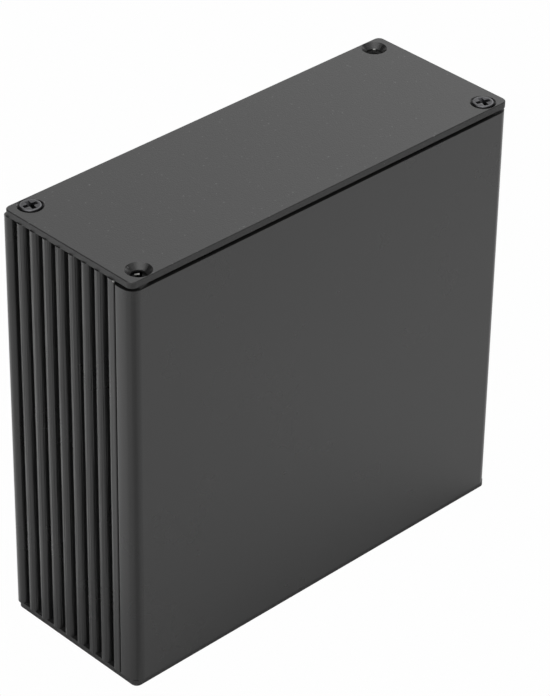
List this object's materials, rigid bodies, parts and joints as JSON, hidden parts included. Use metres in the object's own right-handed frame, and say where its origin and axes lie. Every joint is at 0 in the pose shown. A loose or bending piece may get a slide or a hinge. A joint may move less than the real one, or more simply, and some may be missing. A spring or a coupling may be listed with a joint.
{
  "type": "aluminium project box",
  "caption": "Black anodised split aluminium project box with round-finned sides, a smooth front cover and screwed end plates, made to house a circuit board.",
  "frame": {"origin": "centre of the footprint, on the outer face of the bottom end plate", "axes": "+Z along the extrusion towards the top end plate, +X across the finned sides, -Y out of the smooth front cover"},
  "size_m": [0.11, 0.04, 0.103],
  "materials": {
    "anodised_extrusion": "satin black anodised extrusion with faint die lines",
    "anodised_plate": "fine-blasted black anodised sheet",
    "blackened_screw": "blackened steel with worn edges"
  },
  "bodies": {
    "root": {"rear_half": "anodised_extrusion", "front_cover": "anodised_extrusion", "top_end_plate": "anodised_plate", "bottom_end_plate": "anodised_plate", "top_screws": "blackened_screw", "bottom_screws": "blackened_screw"}
  },
  "joints": []
}
